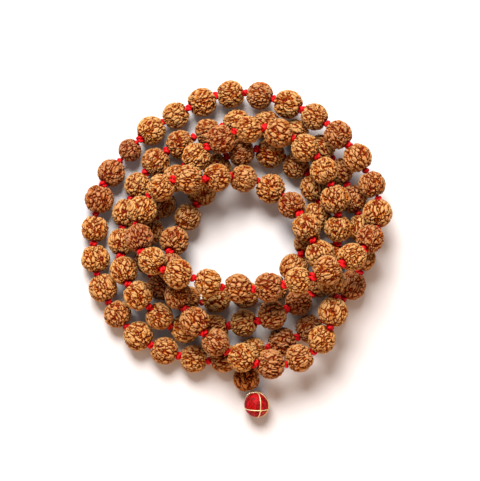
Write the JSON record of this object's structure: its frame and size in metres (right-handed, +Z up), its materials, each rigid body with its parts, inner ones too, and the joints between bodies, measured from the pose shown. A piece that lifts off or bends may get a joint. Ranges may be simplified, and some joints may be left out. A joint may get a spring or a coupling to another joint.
{
  "type": "mala prayer beads",
  "caption": "Mala of wrinkled seed beads knotted one by one on a red cord, laid in loose turns, with a guru bead and a red thread-wound ball bound in gold thread.",
  "frame": {"origin": "on the surface it lies on, under the middle of the laid mala with its pendant", "axes": "+Z up from the surface, -Y from the ring's middle towards the pendant ball, +X to the right of that seen from above"},
  "size_m": [0.0868, 0.095, 0.0237],
  "materials": {
    "seed": "dry, deeply wrinkled seed, worn paler on the ridges",
    "guru_seed": "darker seed with deep pits",
    "red_cord": "silky twisted cord",
    "red_thread": "fine thread wound over a core",
    "gold_thread": "metallic gold sewing thread"
  },
  "bodies": {
    "string": {"bead_run_45_50": "seed", "bead_run_51_57": "seed", "bead_run_58_63": "seed", "bead_run_64_70": "seed", "bead_run_71_76": "seed", "bead_run_77_82": "seed", "bead_run_83_89": "seed", "bead_run_90_95": "seed", "bead_run_96_102": "seed", "bead_run_103_108": "seed", "knotted_cord": "red_cord"},
    "bead_01": {"bead_01": "seed"},
    "bead_02": {"bead_02": "seed"},
    "bead_03": {"bead_03": "seed"},
    "bead_04": {"bead_04": "seed"},
    "bead_05": {"bead_05": "seed"},
    "bead_06": {"bead_06": "seed"},
    "bead_07": {"bead_07": "seed"},
    "bead_08": {"bead_08": "seed"},
    "bead_09": {"bead_09": "seed"},
    "bead_10": {"bead_10": "seed"},
    "bead_11": {"bead_11": "seed"},
    "bead_12": {"bead_12": "seed"},
    "bead_13": {"bead_13": "seed"},
    "bead_14": {"bead_14": "seed"},
    "bead_15": {"bead_15": "seed"},
    "bead_16": {"bead_16": "seed"},
    "bead_17": {"bead_17": "seed"},
    "bead_18": {"bead_18": "seed"},
    "bead_19": {"bead_19": "seed"},
    "bead_20": {"bead_20": "seed"},
    "bead_21": {"bead_21": "seed"},
    "bead_22": {"bead_22": "seed"},
    "bead_23": {"bead_23": "seed"},
    "bead_24": {"bead_24": "seed"},
    "bead_25": {"bead_25": "seed"},
    "bead_26": {"bead_26": "seed"},
    "bead_27": {"bead_27": "seed"},
    "bead_28": {"bead_28": "seed"},
    "bead_29": {"bead_29": "seed"},
    "bead_30": {"bead_30": "seed"},
    "bead_31": {"bead_31": "seed"},
    "bead_32": {"bead_32": "seed"},
    "bead_33": {"bead_33": "seed"},
    "bead_34": {"bead_34": "seed"},
    "bead_35": {"bead_35": "seed"},
    "bead_36": {"bead_36": "seed"},
    "bead_37": {"bead_37": "seed"},
    "bead_38": {"bead_38": "seed"},
    "bead_39": {"bead_39": "seed"},
    "bead_40": {"bead_40": "seed"},
    "bead_41": {"bead_41": "seed"},
    "bead_42": {"bead_42": "seed"},
    "bead_43": {"bead_43": "seed"},
    "bead_44": {"bead_44": "seed"},
    "guru_lead": {"guru_cord": "red_cord"},
    "guru": {"guru_bead": "guru_seed"},
    "neck": {"neck_knot": "gold_thread"},
    "pendant": {"wound_ball": "red_thread", "gold_thread": "gold_thread"}
  },
  "joints": [
    {"name": "bead_01_spin", "type": "hinge", "parent": "string", "child": "bead_01", "pos_m": [0.00956, -0.03259, 0.01026], "axis": [0.9744, -0.0226, -0.2239], "continuous": true},
    {"name": "bead_02_spin", "type": "hinge", "parent": "string", "child": "bead_02", "pos_m": [0.01755, -0.03092, 0.00963], "axis": [0.9065, 0.4155, 0.0748], "continuous": true},
    {"name": "bead_03_spin", "type": "hinge", "parent": "string", "child": "bead_03", "pos_m": [0.02366, -0.02581, 0.01128], "axis": [0.5309, 0.7871, 0.3142], "continuous": true},
    {"name": "bead_04_spin", "type": "hinge", "parent": "string", "child": "bead_04", "pos_m": [0.02677, -0.01833, 0.01217], "axis": [0.2004, 0.9741, -0.1044], "continuous": true},
    {"name": "bead_05_spin", "type": "hinge", "parent": "string", "child": "bead_05", "pos_m": [0.02635, -0.01013, 0.01188], "axis": [-0.2981, 0.9539, 0.035], "continuous": true},
    {"name": "bead_06_spin", "type": "hinge", "parent": "string", "child": "bead_06", "pos_m": [0.02314, -0.00238, 0.01284], "axis": [-0.4571, 0.8686, 0.1912], "continuous": true},
    {"name": "bead_07_spin", "type": "hinge", "parent": "string", "child": "bead_07", "pos_m": [0.01945, 0.00504, 0.01261], "axis": [-0.4127, 0.8774, -0.2447], "continuous": true},
    {"name": "bead_08_spin", "type": "hinge", "parent": "string", "child": "bead_08", "pos_m": [0.01549, 0.01159, 0.00929], "axis": [-0.518, 0.6654, -0.5375], "continuous": true},
    {"name": "bead_09_spin", "type": "hinge", "parent": "string", "child": "bead_09", "pos_m": [0.00962, 0.01653, 0.00664], "axis": [-0.8636, 0.497, -0.0847], "continuous": true},
    {"name": "bead_10_spin", "type": "hinge", "parent": "string", "child": "bead_10", "pos_m": [0.00205, 0.01919, 0.0079], "axis": [-0.9156, 0.1287, 0.3809], "continuous": true},
    {"name": "bead_11_spin", "type": "hinge", "parent": "string", "child": "bead_11", "pos_m": [-0.00529, 0.01903, 0.01191], "axis": [-0.8107, -0.1678, 0.5609], "continuous": true},
    {"name": "bead_12_spin", "type": "hinge", "parent": "string", "child": "bead_12", "pos_m": [-0.01301, 0.01833, 0.01431], "axis": [-1, 0.004, 0.0026], "continuous": true},
    {"name": "bead_13_spin", "type": "hinge", "parent": "string", "child": "bead_13", "pos_m": [-0.02072, 0.01607, 0.0132], "axis": [-0.8058, -0.531, -0.2621], "continuous": true},
    {"name": "bead_14_spin", "type": "hinge", "parent": "string", "child": "bead_14", "pos_m": [-0.02589, 0.00987, 0.01235], "axis": [-0.3996, -0.9145, 0.0636], "continuous": true},
    {"name": "bead_15_spin", "type": "hinge", "parent": "string", "child": "bead_15", "pos_m": [-0.02682, 0.00199, 0.01408], "axis": [0.1833, -0.9221, 0.3408], "continuous": true},
    {"name": "bead_16_spin", "type": "hinge", "parent": "string", "child": "bead_16", "pos_m": [-0.02298, -0.00452, 0.01705], "axis": [0.7155, -0.6022, 0.354], "continuous": true},
    {"name": "bead_17_spin", "type": "hinge", "parent": "string", "child": "bead_17", "pos_m": [-0.01585, -0.0082, 0.01826], "axis": [0.9621, -0.2633, -0.0706], "continuous": true},
    {"name": "bead_18_spin", "type": "hinge", "parent": "string", "child": "bead_18", "pos_m": [-0.00775, -0.0105, 0.01724], "axis": [0.9458, -0.2772, -0.1694], "continuous": true},
    {"name": "bead_19_spin", "type": "hinge", "parent": "string", "child": "bead_19", "pos_m": [0.00051, -0.01202, 0.01641], "axis": [0.9964, -0.0814, -0.0243], "continuous": true},
    {"name": "bead_20_spin", "type": "hinge", "parent": "string", "child": "bead_20", "pos_m": [0.00892, -0.01176, 0.01683], "axis": [0.9821, 0.1441, 0.1214], "continuous": true},
    {"name": "bead_21_spin", "type": "hinge", "parent": "string", "child": "bead_21", "pos_m": [0.01703, -0.01007, 0.01853], "axis": [0.9262, 0.2523, 0.28], "continuous": true},
    {"name": "bead_22_spin", "type": "hinge", "parent": "string", "child": "bead_22", "pos_m": [0.02488, -0.00735, 0.01961], "axis": [0.9213, 0.3879, -0.0266], "continuous": true},
    {"name": "bead_23_spin", "type": "hinge", "parent": "string", "child": "bead_23", "pos_m": [0.03185, -0.00353, 0.01748], "axis": [0.7171, 0.511, -0.4739], "continuous": true},
    {"name": "bead_24_spin", "type": "hinge", "parent": "string", "child": "bead_24", "pos_m": [0.03696, 0.00181, 0.01352], "axis": [0.4847, 0.7445, -0.4591], "continuous": true},
    {"name": "bead_25_spin", "type": "hinge", "parent": "string", "child": "bead_25", "pos_m": [0.03921, 0.00917, 0.01092], "axis": [0.0446, 0.9873, -0.1526], "continuous": true},
    {"name": "bead_26_spin", "type": "hinge", "parent": "string", "child": "bead_26", "pos_m": [0.03773, 0.01727, 0.01038], "axis": [-0.3918, 0.9196, 0.027], "continuous": true},
    {"name": "bead_27_spin", "type": "hinge", "parent": "string", "child": "bead_27", "pos_m": [0.03371, 0.02472, 0.01066], "axis": [-0.5543, 0.8314, 0.0388], "continuous": true},
    {"name": "bead_28_spin", "type": "hinge", "parent": "string", "child": "bead_28", "pos_m": [0.02836, 0.03124, 0.01043], "axis": [-0.7039, 0.7042, -0.0926], "continuous": true},
    {"name": "bead_29_spin", "type": "hinge", "parent": "string", "child": "bead_29", "pos_m": [0.02189, 0.03645, 0.00902], "axis": [-0.8187, 0.5213, -0.2408], "continuous": true},
    {"name": "bead_30_spin", "type": "hinge", "parent": "string", "child": "bead_30", "pos_m": [0.01456, 0.04029, 0.00723], "axis": [-0.9065, 0.3813, -0.1812], "continuous": true},
    {"name": "bead_31_spin", "type": "hinge", "parent": "string", "child": "bead_31", "pos_m": [0.00664, 0.04291, 0.00573], "axis": [-0.9569, 0.236, -0.1695], "continuous": true},
    {"name": "bead_32_spin", "type": "hinge", "parent": "string", "child": "bead_32", "pos_m": [-0.0016, 0.04352, 0.0043], "axis": [-0.9816, -0.0926, -0.167], "continuous": true},
    {"name": "bead_33_spin", "type": "hinge", "parent": "string", "child": "bead_33", "pos_m": [-0.00955, 0.04132, 0.0043], "axis": [-0.8892, -0.426, 0.1669], "continuous": true},
    {"name": "bead_34_spin", "type": "hinge", "parent": "string", "child": "bead_34", "pos_m": [-0.01701, 0.0376, 0.00407], "axis": [-0.8661, -0.4483, -0.221], "continuous": true},
    {"name": "bead_35_spin", "type": "hinge", "parent": "string", "child": "bead_35", "pos_m": [-0.02389, 0.03315, 0.00428], "axis": [-0.7533, -0.5993, 0.2708], "continuous": true},
    {"name": "bead_36_spin", "type": "hinge", "parent": "string", "child": "bead_36", "pos_m": [-0.02992, 0.02764, 0.00427], "axis": [-0.6633, -0.6962, -0.2746], "continuous": true},
    {"name": "bead_37_spin", "type": "hinge", "parent": "string", "child": "bead_37", "pos_m": [-0.03508, 0.0213, 0.00414], "axis": [-0.5526, -0.7971, 0.2435], "continuous": true},
    {"name": "bead_38_spin", "type": "hinge", "parent": "string", "child": "bead_38", "pos_m": [-0.0384, 0.01381, 0.00458], "axis": [-0.2284, -0.9635, -0.1396], "continuous": true},
    {"name": "bead_39_spin", "type": "hinge", "parent": "string", "child": "bead_39", "pos_m": [-0.03964, 0.00548, 0.00405], "axis": [-0.0638, -0.9978, 0.0162], "continuous": true},
    {"name": "bead_40_spin", "type": "hinge", "parent": "string", "child": "bead_40", "pos_m": [-0.03939, -0.00298, 0.00422], "axis": [0.1226, -0.9922, 0.0222], "continuous": true},
    {"name": "bead_41_spin", "type": "hinge", "parent": "string", "child": "bead_41", "pos_m": [-0.03723, -0.01112, 0.00421], "axis": [0.3859, -0.9222, -0.0228], "continuous": true},
    {"name": "bead_42_spin", "type": "hinge", "parent": "string", "child": "bead_42", "pos_m": [-0.03315, -0.01852, 0.00412], "axis": [0.5753, -0.8179, 0.0006], "continuous": true},
    {"name": "bead_43_spin", "type": "hinge", "parent": "string", "child": "bead_43", "pos_m": [-0.02733, -0.02458, 0.00431], "axis": [0.793, -0.6076, 0.0446], "continuous": true},
    {"name": "bead_44_spin", "type": "hinge", "parent": "string", "child": "bead_44", "pos_m": [-0.02, -0.02867, 0.00414], "axis": [0.9311, -0.3548, -0.0851], "continuous": true},
    {"name": "guru_lift", "type": "hinge", "parent": "string", "child": "guru_lead", "pos_m": [0.00542, -0.0325, 0.01121], "axis": [-0.9725, 0.2096, 0.1018], "range_deg": [0, 60]},
    {"name": "guru_spin", "type": "hinge", "parent": "guru_lead", "child": "guru", "pos_m": [0.00288, -0.03637, 0.0039], "axis": [0.3693, -0.9233, -0.1053], "continuous": true},
    {"name": "pendant_swing", "type": "hinge", "parent": "guru_lead", "child": "neck", "pos_m": [0.00432, -0.03997, 0.00349], "axis": [0, 0, 1], "range_deg": [-20, 20]},
    {"name": "pendant_lift", "type": "hinge", "parent": "neck", "child": "pendant", "pos_m": [0.00432, -0.03997, 0.00349], "axis": [-0.9344, -0.3561, 0], "range_deg": [0, 25]}
  ]
}
